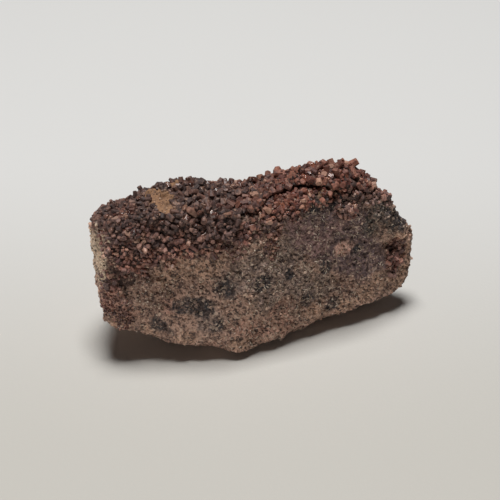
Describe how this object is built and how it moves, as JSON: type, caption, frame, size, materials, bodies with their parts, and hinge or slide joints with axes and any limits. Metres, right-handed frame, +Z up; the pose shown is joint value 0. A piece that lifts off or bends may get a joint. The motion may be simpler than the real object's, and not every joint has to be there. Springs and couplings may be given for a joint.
{
  "type": "vanadinite in matrix specimen",
  "caption": "Broken block of brown host rock with a crust of small hexagonal red-brown crystals over its top and upper front, standing on a flat foot.",
  "frame": {"origin": "under the middle of the stone's box, on the surface that it stands on", "axes": "+X along the stone's length to the right as its crusted face is looked at, +Y away from the viewer, +Z up"},
  "size_m": [0.102, 0.043, 0.0564],
  "materials": {
    "matrix": "rough, broken",
    "vanadinite_crust": "resinous crystals"
  },
  "bodies": {
    "root": {"matrix": "matrix", "vanadinite_crust": "vanadinite_crust"}
  },
  "joints": []
}
